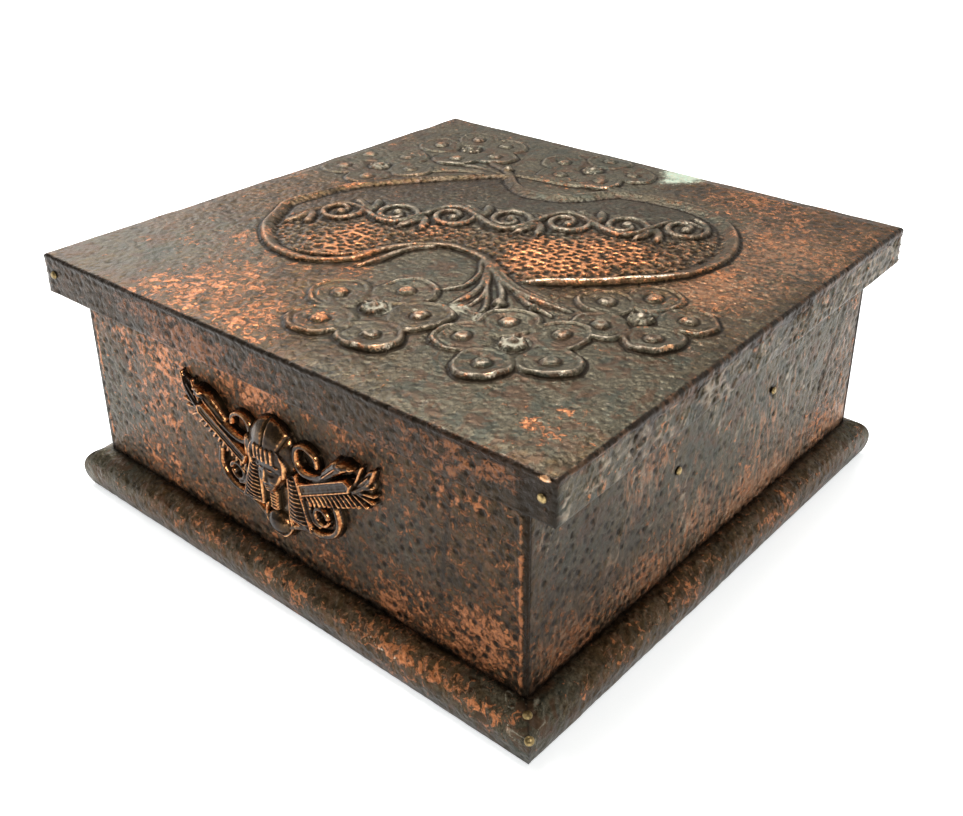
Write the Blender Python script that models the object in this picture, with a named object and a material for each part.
"""Copper-clad handkerchief box with a hinged lid.

A carcase of wooden boards stands inside a mitred plinth. Hammered copper sheet clads the walls,
the plinth and the lid, brass pins hold the sheet, a cast winged head sits on the front wall, and
two brass butt hinges carry the lid. Metres, +Z up, origin at the centre of the underside, the
front wall towards -Y.
"""

import math

import bmesh
import bpy
from mathutils import Matrix, Vector

# Driving dimensions
LID_WIDTH = 0.201
LID_DEPTH = 0.196
LID_HEIGHT = 0.013
WALL_WIDTH = 0.184
WALL_DEPTH = 0.181
TOTAL_HEIGHT = 0.0875
LID_GAP = 0.0004
BOARD = 0.008
BASE_THICKNESS = 0.008
SHEET = 0.0008
GAP = 0.0003
FOLD_RADIUS = 0.0010
CLADDING_FOOT = 0.0010
DRILL_OVERRUN = 0.0020
DRILL_SIDES = 8
LID_TURN = math.radians(1.4)  # the lid sits a little askew on its hinges
LID_SHIFT = (0.0, 0.0012, 0.0)

# Plinth section, measured outwards from the wall cladding
PLINTH_HEIGHT = 0.014
PLINTH_NOSE_Z = 0.0068
PLINTH_PROJECTION = 0.0076
PLINTH_TOP_FLAT = 0.0006
PLINTH_UNDER_RADIUS = 0.010
PLINTH_STRIP_FOOT = 0.0006
MITRE_GAP = 0.0003

# Brass pins
PIN_HEAD_RADIUS = 0.00115
PIN_HEAD_HEIGHT = 0.0007
PIN_SHANK_RADIUS = 0.0005
PIN_SHANK_LENGTH = 0.0045
PIN_SIDES = 10
MITRE_PIN_ANGLES = (68, 26)  # degrees up from the nose, at the front right mitre
SIDE_PIN_PLACES = ((-0.0235, 0.0497), (0.0303, 0.0525))  # along the wall, height
BACK_PIN_X = 0.027
BACK_PIN_Z = 0.051
RIM_PIN_INSET = 0.004

# Hinges
HINGE_X = 0.055
HINGE_WIDTH = 0.030
LEAF_THICKNESS = 0.0010
LEAF_LENGTH = 0.016
KNUCKLE_RADIUS = 0.0021
HINGE_PIN_RADIUS = 0.0008
BARREL_SIDES = 16
BORE_SIDES = 12
HINGE_SCREW_X = 0.009
HINGE_SCREW_OUT = 0.010
SCREW_HEAD_RADIUS = 0.0016
SCREW_SHANK_RADIUS = 0.0007
SCREW_LENGTH = 0.0065
SCREW_SIDES = 12

# Embossing on the lid, laid out across its diagonal
RELIEF = 0.0020
CARTOUCHE_HALF_LENGTH = 0.0785
CARTOUCHE_HALF_WIDTH = 0.0470
CARTOUCHE_CENTRE = (0.004, 0.011)
BEAD_RADIUS = 0.0020
PETALS = 5
FLOWERS = (  # along, across, radius
    (-0.038, -0.051, 0.0220),
    (-0.001, -0.078, 0.0200),
    (0.036, -0.066, 0.0185),
    (-0.035, 0.073, 0.0185),
    (0.003, 0.090, 0.0190),
    (0.047, 0.063, 0.0170),
)

# Cast mount, centred on the front wall
MOUNT_CENTRE_Z = 0.0442
MOUNT_STRETCH = (0.98, 1.0, 0.84)
PEG_X = 0.020
PEG_RADIUS = 0.0009
PEG_LENGTH = 0.0060
PEG_SIDES = 10

# Worked-out levels and faces
LID_UNDER = TOTAL_HEIGHT - LID_HEIGHT
WALL_TOP = LID_UNDER - LID_GAP
SKIN = SHEET + GAP
CARCASE_WIDTH = WALL_WIDTH - 2 * SKIN
CARCASE_DEPTH = WALL_DEPTH - 2 * SKIN
HINGE_Y = WALL_DEPTH / 2 + GAP + KNUCKLE_RADIUS
HINGE_Z = LID_UNDER + LEAF_THICKNESS - KNUCKLE_RADIUS
BORE_RADIUS = HINGE_PIN_RADIUS + GAP
KNUCKLE_LENGTH = (HINGE_WIDTH - 2 * GAP) / 3

# The four sides: name, turn about Z, length of the wall, distance of the wall's face from the centre
SIDES = (
    ("front", 0.0, WALL_WIDTH, WALL_DEPTH / 2),
    ("right", math.pi / 2, WALL_DEPTH, WALL_WIDTH / 2),
    ("back", math.pi, WALL_WIDTH, WALL_DEPTH / 2),
    ("left", -math.pi / 2, WALL_DEPTH, WALL_WIDTH / 2),
)


def clear_scene():
    """Remove whatever the scene holds."""
    for item in list(bpy.data.objects):
        bpy.data.objects.remove(item, do_unlink=True)


def make_material(name, colour, roughness, metallic):
    """A Principled material with one colour."""
    material = bpy.data.materials.new(name)
    material.use_nodes = True
    shader = material.node_tree.nodes["Principled BSDF"]
    shader.inputs["Base Color"].default_value = (*colour, 1.0)
    shader.inputs["Roughness"].default_value = roughness
    shader.inputs["Metallic"].default_value = metallic
    return material


def add_object(name, bm, material, parent):
    """Turn a bmesh into a named object under its body's empty."""
    bmesh.ops.recalc_face_normals(bm, faces=bm.faces)
    mesh = bpy.data.meshes.new(name)
    bm.to_mesh(mesh)
    bm.free()
    mesh.materials.append(material)
    obj = bpy.data.objects.new(name, mesh)
    bpy.context.scene.collection.objects.link(obj)
    obj.parent = parent
    if parent is not None:
        obj.matrix_parent_inverse = Matrix.Translation(-parent.location)
    return obj


def add_cutter(name, bm):
    """An object that only serves Boolean modifiers."""
    cutter = add_object(name, bm, MATERIALS["brass"], None)
    cutter.hide_render = True
    cutter.display_type = "WIRE"
    return cutter


def combine(target, other, operation):
    """Join other to target, or cut it out of target."""
    modifier = target.modifiers.new(other.name, "BOOLEAN")
    modifier.operation = operation
    modifier.solver = "EXACT"
    modifier.object = other


def box(bm, low, high):
    """A box between two corners."""
    low = Vector(low)
    high = Vector(high)
    size = Matrix.Diagonal((*(high - low), 1.0))
    bmesh.ops.create_cube(bm, size=1.0, matrix=Matrix.Translation((low + high) / 2) @ size)


def box_object(name, low, high, material, parent):
    """A board or a sheet."""
    bm = bmesh.new()
    box(bm, low, high)
    return add_object(name, bm, material, parent)


def prism(bm, outline, offset):
    """A flat outline, given as points in space, extruded by offset."""
    face = bm.faces.new([bm.verts.new(point) for point in outline])
    extruded = bmesh.ops.extrude_face_region(bm, geom=[face], use_keep_orig=True)
    moved = [item for item in extruded["geom"] if isinstance(item, bmesh.types.BMVert)]
    bmesh.ops.translate(bm, verts=moved, vec=offset)


def turned(bm, profile, sides, matrix):
    """A (radius, height) profile turned about local Z into a closed solid."""
    before = set(bm.verts)
    verts = [bm.verts.new((radius, 0.0, height)) for radius, height in profile]
    edges = [bm.edges.new(pair) for pair in zip(verts, verts[1:])]
    bmesh.ops.spin(
        bm,
        geom=verts + edges,
        cent=(0.0, 0.0, 0.0),
        axis=(0.0, 0.0, 1.0),
        angle=2 * math.pi,
        steps=sides,
        use_merge=True,
    )
    fresh = [vert for vert in bm.verts if vert not in before]
    bmesh.ops.remove_doubles(bm, verts=fresh, dist=1e-6)
    fresh = [vert for vert in bm.verts if vert not in before]
    bmesh.ops.transform(bm, matrix=matrix, verts=fresh)


def tube(bm, points, radius, closed):
    """A round bar along a smooth curve through points, added to bm."""
    curve = bpy.data.curves.new("bar", "CURVE")
    curve.dimensions = "3D"
    curve.bevel_depth = radius
    curve.bevel_resolution = 1
    curve.use_fill_caps = True
    curve.resolution_u = 3
    spline = curve.splines.new("NURBS")
    spline.points.add(len(points) - 1)
    for place, point in zip(spline.points, points):
        place.co = (*point, 1.0)
    spline.order_u = 4
    spline.use_endpoint_u = not closed
    spline.use_cyclic_u = closed
    guide = bpy.data.objects.new("bar", curve)
    mesh = bpy.data.meshes.new_from_object(guide)
    bm.from_mesh(mesh)
    bmesh.ops.remove_doubles(bm, verts=bm.verts, dist=1e-6)
    bpy.data.objects.remove(guide)
    bpy.data.meshes.remove(mesh)


def aimed(point, direction):
    """A frame at point whose Z axis looks along direction."""
    turn = Vector(direction).to_track_quat("Z", "Y").to_matrix().to_4x4()
    return Matrix.Translation(point) @ turn


def smooth(obj):
    """Smooth shading that keeps the sharp edges."""
    obj.data.shade_smooth()
    obj.data.set_sharp_from_angle(angle=math.radians(40))


# Pins and screws, each described by its place and the direction its head faces

def pin_profile():
    """Half section of a round-headed pin, its head resting on height 0."""
    head = PIN_HEAD_RADIUS
    return (
        (0.0, -PIN_SHANK_LENGTH),
        (PIN_SHANK_RADIUS, -PIN_SHANK_LENGTH),
        (PIN_SHANK_RADIUS, GAP / 2),
        (head, GAP / 2),
        (head * 0.8, PIN_HEAD_HEIGHT * 0.7),
        (0.0, PIN_HEAD_HEIGHT),
    )


def pin_hole_profile():
    """Half section of the hole that a pin's shank stands in."""
    radius = PIN_SHANK_RADIUS + GAP
    depth = PIN_SHANK_LENGTH + GAP
    return ((0.0, -depth), (radius, -depth), (radius, DRILL_OVERRUN), (0.0, DRILL_OVERRUN))


def screw_profile():
    """Half section of a countersunk screw, its head flush with height 0."""
    return (
        (0.0, -SCREW_LENGTH),
        (SCREW_SHANK_RADIUS, -SCREW_LENGTH + SCREW_SHANK_RADIUS),
        (SCREW_SHANK_RADIUS, -LEAF_THICKNESS),
        (SCREW_HEAD_RADIUS, 0.0),
        (0.0, 0.0),
    )


def screw_hole_profile():
    """Half section of a screw's countersunk hole."""
    shank = SCREW_SHANK_RADIUS + GAP
    head = SCREW_HEAD_RADIUS + GAP
    depth = SCREW_LENGTH + GAP
    return (
        (0.0, -depth),
        (shank, -depth),
        (shank, -LEAF_THICKNESS),
        (head, 0.0),
        (head, DRILL_OVERRUN),
        (0.0, DRILL_OVERRUN),
    )


def fasteners(name, places, profile, sides, material, parent):
    """One numbered object for each of a set of equal fasteners."""
    for number, (point, direction) in enumerate(places, start=1):
        bm = bmesh.new()
        turned(bm, profile, sides, aimed(point, direction))
        smooth(add_object(f"{name}_{number}", bm, material, parent))


def drill(name, places, profile, targets):
    """Cut one hole for each fastener through all of its targets."""
    bm = bmesh.new()
    for point, direction in places:
        turned(bm, profile, DRILL_SIDES, aimed(point, direction))
    cutter = add_cutter(name, bm)
    for target in targets:
        combine(target, cutter, "DIFFERENCE")


# Plinth

def plinth_curve(inset):
    """Outer line of the plinth section, drawn inset under its surface, from the top to the foot."""
    reach = PLINTH_PROJECTION - PLINTH_TOP_FLAT - inset
    rise = PLINTH_HEIGHT - PLINTH_NOSE_Z - inset
    under = PLINTH_UNDER_RADIUS - inset
    points = []
    for step in range(7):
        angle = math.radians(90 - 15 * step)
        points.append((PLINTH_TOP_FLAT + reach * math.cos(angle), PLINTH_NOSE_Z + rise * math.sin(angle)))
    for foot in (PLINTH_NOSE_Z / 2, PLINTH_STRIP_FOOT):
        drop = (PLINTH_NOSE_Z - foot) / under
        points.append((PLINTH_TOP_FLAT + reach * math.sqrt(1 - drop * drop), foot))
    return points


def strip_section():
    """Closed section of the copper strip."""
    outer = [(GAP, PLINTH_HEIGHT)] + plinth_curve(0.0)
    inner = [(GAP, PLINTH_HEIGHT - SHEET)] + plinth_curve(SHEET)
    return outer + inner[::-1]


def moulding_section():
    """Closed section of the wooden moulding under the strip, standing on height 0."""
    curve = plinth_curve(SKIN)
    return [(GAP, curve[0][1])] + curve + [(curve[-1][0], 0.0), (GAP, 0.0)]


def mitred_bar(name, section, side, material, parent):
    """A section run along one side of the box, with both ends cut at 45 degrees."""
    turn, length, face = side[1:]
    bm = bmesh.new()
    for end in (-1, 1):
        ring = []
        for out, height in section:
            along = end * (length / 2 + out - MITRE_GAP / 2)
            ring.append(bm.verts.new((along, -(face + out), height)))
        bm.faces.new(ring)
    bmesh.ops.bridge_loops(bm, edges=bm.edges[:])
    bmesh.ops.rotate(bm, verts=bm.verts, cent=(0.0, 0.0, 0.0), matrix=Matrix.Rotation(turn, 3, "Z"))
    bar = add_object(name, bm, material, parent)
    smooth(bar)
    return bar


def mitre_pin_places():
    """Two pins on the front right mitre of the plinth, one on its shoulder and one on its nose."""
    reach = PLINTH_PROJECTION - PLINTH_TOP_FLAT
    rise = PLINTH_HEIGHT - PLINTH_NOSE_Z
    outward = Vector((1.0, -1.0, 0.0)).normalized()
    places = []
    for degrees in MITRE_PIN_ANGLES:
        angle = math.radians(degrees)
        out = PLINTH_TOP_FLAT + reach * math.cos(angle)
        height = PLINTH_NOSE_Z + rise * math.sin(angle)
        slope = Vector((math.cos(angle) / (reach * math.sqrt(2)), math.sin(angle) / rise)).normalized()
        point = Vector((WALL_WIDTH / 2 + out, -(WALL_DEPTH / 2 + out), height))
        places.append((point, outward * slope.x + Vector((0.0, 0.0, slope.y))))
    return places


def build_plinth(parent):
    """Four mitred mouldings, their copper strips and the pins at the mitres."""
    pieces = []
    for side in SIDES:
        name = side[0]
        pieces.append(mitred_bar(f"plinth_{name}", moulding_section(), side, MATERIALS["wood"], parent))
        pieces.append(mitred_bar(f"plinth_strip_{name}", strip_section(), side, MATERIALS["copper"], parent))
    places = mitre_pin_places()
    drill("mitre_pin_drill", places, pin_hole_profile(), pieces)
    fasteners("plinth_pin", places, pin_profile(), PIN_SIDES, MATERIALS["brass"], parent)


# Carcase and cladding

def build_carcase(parent):
    """Base board and four wall boards; the side walls stand between the front and the back."""
    wood = MATERIALS["wood"]
    half_x = CARCASE_WIDTH / 2
    half_y = CARCASE_DEPTH / 2
    floor = BASE_THICKNESS + GAP
    box_object("base_board", (-half_x, -half_y, 0.0), (half_x, half_y, BASE_THICKNESS), wood, parent)
    inner_y = half_y - BOARD
    boards = {
        "front": ((-half_x, -half_y, floor), (half_x, -inner_y, WALL_TOP)),
        "back": ((-half_x, inner_y, floor), (half_x, half_y, WALL_TOP)),
        "left": ((-half_x, -inner_y + GAP, floor), (-half_x + BOARD, inner_y - GAP, WALL_TOP)),
        "right": ((half_x - BOARD, -inner_y + GAP, floor), (half_x, inner_y - GAP, WALL_TOP)),
    }
    return {
        name: box_object(f"{name}_board", low, high, wood, parent)
        for name, (low, high) in boards.items()
    }


def build_cladding(parent):
    """Copper sheets on the walls; the front and back sheets cover the ends of the side sheets."""
    copper = MATERIALS["copper"]
    half_x = WALL_WIDTH / 2
    half_y = WALL_DEPTH / 2
    inner_y = half_y - SKIN
    sheets = {
        "front": ((-half_x, -half_y, CLADDING_FOOT), (half_x, -half_y + SHEET, WALL_TOP)),
        "back": ((-half_x, half_y - SHEET, CLADDING_FOOT), (half_x, half_y, WALL_TOP)),
        "left": ((-half_x, -inner_y, CLADDING_FOOT), (-half_x + SHEET, inner_y, WALL_TOP)),
        "right": ((half_x - SHEET, -inner_y, CLADDING_FOOT), (half_x, inner_y, WALL_TOP)),
    }
    return {
        name: box_object(f"{name}_cladding", low, high, copper, parent)
        for name, (low, high) in sheets.items()
    }


def build_cladding_pins(boards, sheets, parent):
    """Pins through the wall sheets into the boards."""
    half_x = WALL_WIDTH / 2
    half_y = WALL_DEPTH / 2
    places = []
    for along, height in SIDE_PIN_PLACES:
        places.append(((half_x, along, height), (1.0, 0.0, 0.0)))
        places.append(((-half_x, along, height), (-1.0, 0.0, 0.0)))
    for along in (-BACK_PIN_X, BACK_PIN_X):
        places.append(((along, half_y, BACK_PIN_Z), (0.0, 1.0, 0.0)))
    targets = [group[name] for group in (boards, sheets) for name in ("left", "right", "back")]
    drill("cladding_pin_drill", places, pin_hole_profile(), targets)
    fasteners("cladding_pin", places, pin_profile(), PIN_SIDES, MATERIALS["brass"], parent)


# Hinges

def knuckle(bm, start, radius, length, sides):
    """A cylinder along X at the hinge axis, from X = start."""
    matrix = Matrix.Translation((start, HINGE_Y, HINGE_Z)) @ Matrix.Rotation(math.pi / 2, 4, "Y")
    turned(bm, ((0.0, 0.0), (radius, 0.0), (radius, length), (0.0, length)), sides, matrix)


def wall_screw_places(centre):
    """Screws of one wall leaf."""
    face = WALL_DEPTH / 2 + GAP + LEAF_THICKNESS
    height = HINGE_Z - HINGE_SCREW_OUT
    return [((centre + side * HINGE_SCREW_X, face, height), (0.0, 1.0, 0.0)) for side in (-1, 1)]


def lid_screw_places(centre):
    """Screws of one lid leaf."""
    along = HINGE_Y - HINGE_SCREW_OUT
    return [((centre + side * HINGE_SCREW_X, along, LID_UNDER), (0.0, 0.0, -1.0)) for side in (-1, 1)]


def notched_outline(centre, shoulder, notch_in_middle):
    """Leaf outline as (x, distance from the axis): tabs reach the axis, the rest stops at shoulder."""
    half = HINGE_WIDTH / 2
    inner = KNUCKLE_LENGTH / 2
    if notch_in_middle:
        inner += GAP
        top = [(-half, 0.0), (-inner, 0.0), (-inner, shoulder), (inner, shoulder), (inner, 0.0), (half, 0.0)]
    else:
        top = [(-half, shoulder), (-inner, shoulder), (-inner, 0.0), (inner, 0.0), (inner, shoulder),
               (half, shoulder)]
    return [(centre + x, away) for x, away in top + [(half, LEAF_LENGTH), (-half, LEAF_LENGTH)]]


def build_hinge(name, centre, case, lid):
    """One butt hinge: wall leaf with two knuckles, lid leaf with one, and the pin through them."""
    brass = MATERIALS["brass"]
    shoulder = KNUCKLE_RADIUS + GAP
    half = HINGE_WIDTH / 2
    wall_face = WALL_DEPTH / 2 + GAP

    bm = bmesh.new()
    outline = [(x, wall_face, HINGE_Z - away) for x, away in notched_outline(centre, shoulder, True)]
    prism(bm, outline, (0.0, LEAF_THICKNESS, 0.0))
    wall_leaf = add_object(f"{name}_wall_leaf", bm, brass, case)

    bm = bmesh.new()
    outline = [(x, HINGE_Y - away, LID_UNDER) for x, away in notched_outline(centre, shoulder, False)]
    prism(bm, outline, (0.0, 0.0, LEAF_THICKNESS))
    lid_leaf = add_object(f"{name}_lid_leaf", bm, brass, lid)

    bm = bmesh.new()
    knuckle(bm, centre - half, KNUCKLE_RADIUS, KNUCKLE_LENGTH, BARREL_SIDES)
    knuckle(bm, centre + half - KNUCKLE_LENGTH, KNUCKLE_RADIUS, KNUCKLE_LENGTH, BARREL_SIDES)
    combine(wall_leaf, add_cutter(f"{name}_outer_knuckles", bm), "UNION")

    bm = bmesh.new()
    knuckle(bm, centre - KNUCKLE_LENGTH / 2, KNUCKLE_RADIUS, KNUCKLE_LENGTH, BARREL_SIDES)
    combine(lid_leaf, add_cutter(f"{name}_middle_knuckle", bm), "UNION")

    bm = bmesh.new()
    knuckle(bm, centre - HINGE_WIDTH, BORE_RADIUS, 2 * HINGE_WIDTH, BORE_SIDES)
    bore = add_cutter(f"{name}_bore", bm)
    combine(wall_leaf, bore, "DIFFERENCE")
    combine(lid_leaf, bore, "DIFFERENCE")

    bm = bmesh.new()
    knuckle(bm, centre - half - GAP, HINGE_PIN_RADIUS, HINGE_WIDTH + 2 * GAP, BORE_SIDES)
    smooth(add_object(f"{name}_pin", bm, brass, case))
    return wall_leaf, lid_leaf


def hinge_mortise(centre):
    """The pocket under the lid that takes a leaf and the upper half of the barrel."""
    half = HINGE_WIDTH / 2 + GAP
    low = (centre - half, HINGE_Y - LEAF_LENGTH - GAP, LID_UNDER - DRILL_OVERRUN)
    high = (centre + half, HINGE_Y + KNUCKLE_RADIUS + GAP, LID_UNDER + LEAF_THICKNESS + GAP)
    return low, high


def build_hinges(boards, sheets, lid_board, case, lid):
    """Both hinges with their screws and mortises."""
    wall_leaves = []
    lid_leaves = []
    wall_screws = []
    lid_screws = []
    mortises = bmesh.new()
    for name, centre in (("hinge_left", -HINGE_X), ("hinge_right", HINGE_X)):
        wall_leaf, lid_leaf = build_hinge(name, centre, case, lid)
        wall_leaves.append(wall_leaf)
        lid_leaves.append(lid_leaf)
        wall_screws += wall_screw_places(centre)
        lid_screws += lid_screw_places(centre)
        box(mortises, *hinge_mortise(centre))
    combine(lid_board, add_cutter("lid_mortises", mortises), "DIFFERENCE")
    back = [boards["back"], sheets["back"]]
    drill("wall_screw_drill", wall_screws, screw_hole_profile(), wall_leaves + back)
    drill("lid_screw_drill", lid_screws, screw_hole_profile(), lid_leaves + [lid_board])
    brass = MATERIALS["brass"]
    fasteners("hinge_wall_screw", wall_screws, screw_profile(), SCREW_SIDES, brass, case)
    fasteners("hinge_lid_screw", lid_screws, screw_profile(), SCREW_SIDES, brass, lid)


# Lid

def build_lid(parent):
    """Wooden board under one copper sheet whose rims are folded down over its edges."""
    others = set(bpy.data.objects)
    half_x = LID_WIDTH / 2 - SKIN
    half_y = LID_DEPTH / 2 - SKIN
    top = TOTAL_HEIGHT - SKIN
    board = box_object(
        "lid_board", (-half_x, -half_y, LID_UNDER), (half_x, half_y, top), MATERIALS["wood"], parent
    )
    arris = board.modifiers.new("eased_edges", "BEVEL")
    arris.width = FOLD_RADIUS
    arris.segments = 1
    arris.limit_method = "ANGLE"

    bm = bmesh.new()
    box(bm, (-LID_WIDTH / 2, -LID_DEPTH / 2, LID_UNDER), (LID_WIDTH / 2, LID_DEPTH / 2, TOTAL_HEIGHT))
    bmesh.ops.delete(bm, geom=[face for face in bm.faces if face.normal.z < -0.5], context="FACES_ONLY")
    folds = [edge for edge in bm.edges if len(edge.link_faces) == 2]
    bmesh.ops.bevel(bm, geom=folds, offset=FOLD_RADIUS, segments=2, profile=0.5, affect="EDGES")
    sheet = add_object("lid_sheet", bm, MATERIALS["copper"], parent)
    thickness = sheet.modifiers.new("sheet_thickness", "SOLIDIFY")
    thickness.thickness = SHEET
    thickness.offset = -1.0
    thickness.use_even_offset = True
    emboss(sheet)

    places = []
    for side_x in (-1, 1):
        for side_y in (-1, 1):
            along = side_x * (LID_WIDTH / 2 - RIM_PIN_INSET)
            point = (along, side_y * LID_DEPTH / 2, LID_UNDER + LID_HEIGHT / 2)
            places.append((point, (0.0, side_y, 0.0)))
    drill("rim_pin_drill", places, pin_hole_profile(), [board, sheet])
    fasteners("lid_rim_pin", places, pin_profile(), PIN_SIDES, MATERIALS["brass"], parent)
    place = Matrix.Translation(LID_SHIFT) @ Matrix.Rotation(LID_TURN, 4, "Z")
    for obj in set(bpy.data.objects) - others:
        obj.data.transform(place)
    return board


# Embossing: places are (along, across) on the lid, along its diagonal from the front left to the
# back right corner and across it towards the back left corner

def on_lid(along, across, height):
    """A point over the lid's top from its place in the embossed design."""
    turn = math.sqrt(0.5)
    return Vector(((along - across) * turn, (along + across) * turn, TOTAL_HEIGHT + height))


def cartouche_bead():
    """The rolled border of the oval cartouche, its lower half cut away flat."""
    centre_along, centre_across = CARTOUCHE_CENTRE
    points = []
    for step in range(20):
        angle = 2 * math.pi * step / 20
        along = centre_along + CARTOUCHE_HALF_LENGTH * math.cos(angle)
        across = centre_across + CARTOUCHE_HALF_WIDTH * math.sin(angle)
        points.append(on_lid(along, across, RELIEF - BEAD_RADIUS))
    bm = bmesh.new()
    tube(bm, points, BEAD_RADIUS, True)
    cut = bmesh.ops.bisect_plane(
        bm,
        geom=bm.verts[:] + bm.edges[:] + bm.faces[:],
        plane_co=(0.0, 0.0, TOTAL_HEIGHT - GAP),
        plane_no=(0.0, 0.0, 1.0),
        clear_inner=True,
    )
    rims = [item for item in cut["geom_cut"] if isinstance(item, bmesh.types.BMEdge)]
    bmesh.ops.bridge_loops(bm, edges=rims)
    return bm


def flower_petals():
    """Five-petalled plates, one for each flower."""
    bm = bmesh.new()
    for along, across, reach in FLOWERS:
        outline = []
        for step in range(6 * PETALS):
            angle = 2 * math.pi * step / (6 * PETALS)
            radius = reach * (0.76 + 0.24 * abs(math.cos(PETALS * angle / 2)))
            outline.append(on_lid(along + radius * math.cos(angle), across + radius * math.sin(angle), -GAP))
        prism(bm, outline, (0.0, 0.0, GAP + RELIEF / 2))
    return bm


def flower_bosses():
    """A domed boss in the middle of each flower."""
    bm = bmesh.new()
    profile = ((0.0, -GAP), (0.0045, -GAP), (0.0038, RELIEF * 0.8), (0.0, RELIEF))
    for along, across, _ in FLOWERS:
        turned(bm, profile, 10, Matrix.Translation(on_lid(along, across, 0.0)))
    return bm


def emboss(sheet):
    """Raise the cartouche and its six flowers on the lid sheet."""
    combine(sheet, add_cutter("cartouche_bead", cartouche_bead()), "UNION")
    combine(sheet, add_cutter("flower_petals", flower_petals()), "UNION")
    combine(sheet, add_cutter("flower_bosses", flower_bosses()), "UNION")


# Cast mount: outlines are (across, up) from its centre before its last stretch, and thicknesses
# grow outwards from the wall

def mount_point(across, up, out):
    """A point of the mount in space."""
    return (across, -(WALL_DEPTH / 2 + GAP + out), MOUNT_CENTRE_Z + up)


def mount_slab(outline, thickness, sign):
    """An outline of the mount extruded outwards from its back, mirrored when sign is -1."""
    bm = bmesh.new()
    prism(bm, [mount_point(sign * across, up, 0.0) for across, up in outline], (0.0, -thickness, 0.0))
    return bm


def mount_ball(across, up, out, radii):
    """An ellipsoid of the mount."""
    bm = bmesh.new()
    matrix = Matrix.Translation(mount_point(across, up, out)) @ Matrix.Diagonal((*radii, 1.0))
    bmesh.ops.create_uvsphere(bm, u_segments=14, v_segments=10, radius=1.0, matrix=matrix)
    return bm


def mount_ring(across, up, radius, thickness):
    """A ring lying on the wall, for the coils."""
    bm = bmesh.new()
    sides = 6
    profile = []
    for step in range(sides + 1):
        angle = 2 * math.pi * step / sides
        profile.append((radius + thickness * math.cos(angle), thickness * math.sin(angle)))
    turned(bm, profile, 16, aimed(mount_point(across, up, thickness * 0.9), (0.0, -1.0, 0.0)))
    return bm


def mount_tube(points, radius, sign):
    """A round bar on the mount through (across, up) points."""
    bm = bmesh.new()
    tube(bm, [mount_point(sign * across, up, radius) for across, up in points], radius, False)
    return bm


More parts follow.
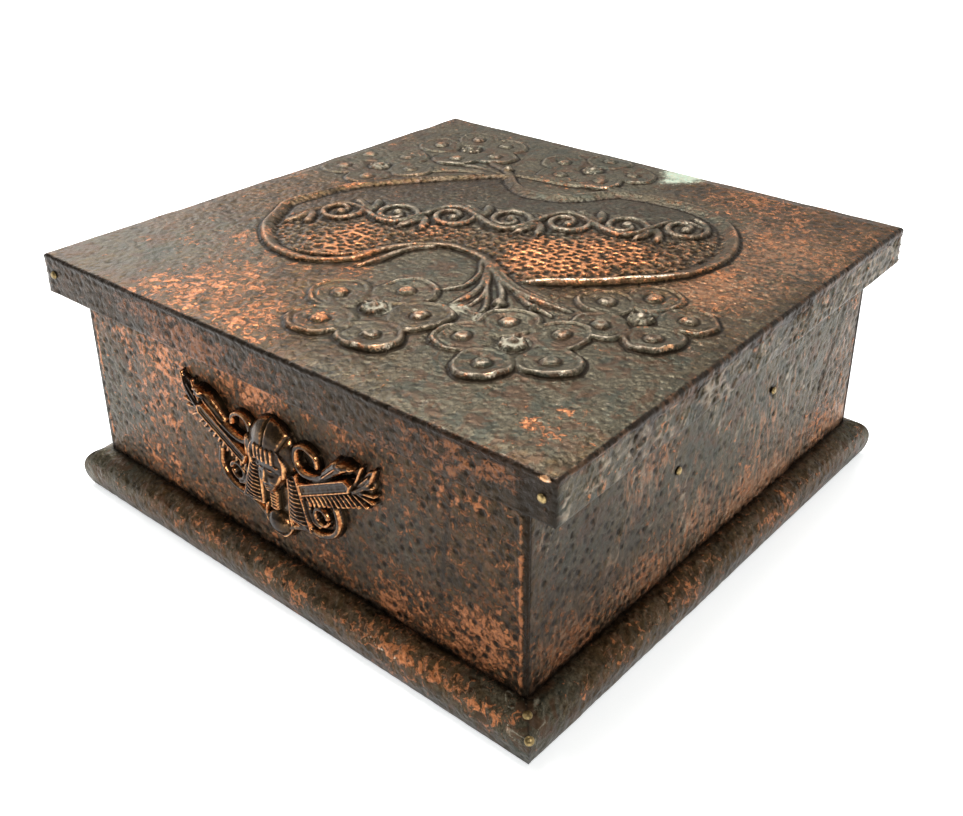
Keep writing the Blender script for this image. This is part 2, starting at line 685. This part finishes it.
def build_mount(front_board, front_sheet, parent):
    """Winged head with its head cloth, coils and pendant, and the two pegs behind it."""
    cloth = [(0.0, 0.0225), (0.0045, 0.0215), (0.0083, 0.018), (0.0102, 0.013), (0.0102, 0.007),
             (0.0115, -0.0005), (0.0155, -0.016), (0.0062, -0.0175), (0.0052, -0.009), (0.0, -0.009)]
    wing = [(0.0095, -0.0005), (0.022, -0.0035), (0.031, 0.0015), (0.0385, 0.008), (0.0425, 0.0145),
            (0.0432, 0.0225), (0.039, 0.0175), (0.033, 0.0145), (0.0095, 0.0045)]
    wing_bar = [(0.011, -0.0005), (0.0345, 0.0115), (0.033, 0.0145), (0.0095, 0.0035)]
    cobra = [(0.0155, 0.0115), (0.0195, 0.0150), (0.0160, 0.0205), (0.0100, 0.0180), (0.0105, 0.0090),
             (0.0190, 0.0065), (0.0260, 0.0120), (0.0285, 0.0190), (0.0330, 0.0215)]
    column = [(-0.0022, -0.0185), (0.0022, -0.0185), (0.003, -0.006), (-0.003, -0.006)]
    mirrored_cloth = [(-across, up) for across, up in cloth[::-1] if across > 0.0]
    mount = add_object(
        "winged_head_mount", mount_slab(cloth + mirrored_cloth, 0.0032, 1), MATERIALS["bronze"], parent
    )
    pieces = [
        ("mount_face", mount_ball(0.0, 0.0035, 0.0022, (0.0060, 0.0046, 0.0098))),
        ("mount_crown", mount_ball(0.0, 0.0145, 0.0010, (0.0085, 0.0046, 0.0078))),
        ("mount_pendant", mount_ball(0.0, -0.0195, 0.0006, (0.0048, 0.0032, 0.0052))),
        ("mount_column", mount_slab(column, 0.0026, 1)),
    ]
    for label, sign in (("left", -1), ("right", 1)):
        pieces += [
            (f"mount_{label}_wing", mount_slab(wing, 0.0020, sign)),
            (f"mount_{label}_wing_bar", mount_slab(wing_bar, 0.0034, sign)),
            (f"mount_{label}_cobra", mount_tube(cobra, 0.0014, sign)),
            (f"mount_{label}_lower_coil", mount_ring(sign * 0.0203, -0.0085, 0.0056, 0.0012)),
        ]
    for name, bm in pieces:
        combine(mount, add_cutter(name, bm), "UNION")
    behind = bmesh.new()
    reach = WALL_WIDTH / 2
    box(behind, mount_point(-reach, -reach, 0.0), (reach, 0.0, MOUNT_CENTRE_Z + reach))
    combine(mount, add_cutter("mount_flat_back", behind), "DIFFERENCE")
    centre = Vector(mount_point(0.0, 0.0, 0.0))
    stretch = Matrix.Diagonal((*MOUNT_STRETCH, 1.0))
    mount.data.transform(Matrix.Translation(centre) @ stretch @ Matrix.Translation(-centre))

    places = [(mount_point(side * PEG_X, 0.0, 0.0), (0.0, -1.0, 0.0)) for side in (-1, 1)]
    peg = ((0.0, -PEG_LENGTH), (PEG_RADIUS, -PEG_LENGTH), (PEG_RADIUS, -GAP), (0.0, -GAP))
    hole_radius = PEG_RADIUS + GAP
    hole = ((0.0, -PEG_LENGTH - GAP), (hole_radius, -PEG_LENGTH - GAP), (hole_radius, GAP), (0.0, GAP))
    drill("peg_drill", places, hole, [front_board, front_sheet])
    fasteners("mount_peg", places, peg, PEG_SIDES, MATERIALS["bronze"], parent)


clear_scene()
MATERIALS = {
    "copper": make_material("copper", (0.24, 0.11, 0.07), 0.45, 1.0),
    "bronze": make_material("bronze", (0.12, 0.06, 0.04), 0.35, 1.0),
    "brass": make_material("brass", (0.62, 0.45, 0.20), 0.35, 1.0),
    "wood": make_material("wood", (0.28, 0.16, 0.08), 0.65, 0.0),
}
case_body = bpy.data.objects.new("case_body", None)
lid_body = bpy.data.objects.new("lid_body", None)
for empty in (case_body, lid_body):
    bpy.context.scene.collection.objects.link(empty)
lid_body.location = (0.0, HINGE_Y, HINGE_Z)

case_boards = build_carcase(case_body)
case_sheets = build_cladding(case_body)
build_plinth(case_body)
build_cladding_pins(case_boards, case_sheets, case_body)
the_lid_board = build_lid(lid_body)
build_hinges(case_boards, case_sheets, the_lid_board, case_body, lid_body)
build_mount(case_boards["front"], case_sheets["front"], case_body)
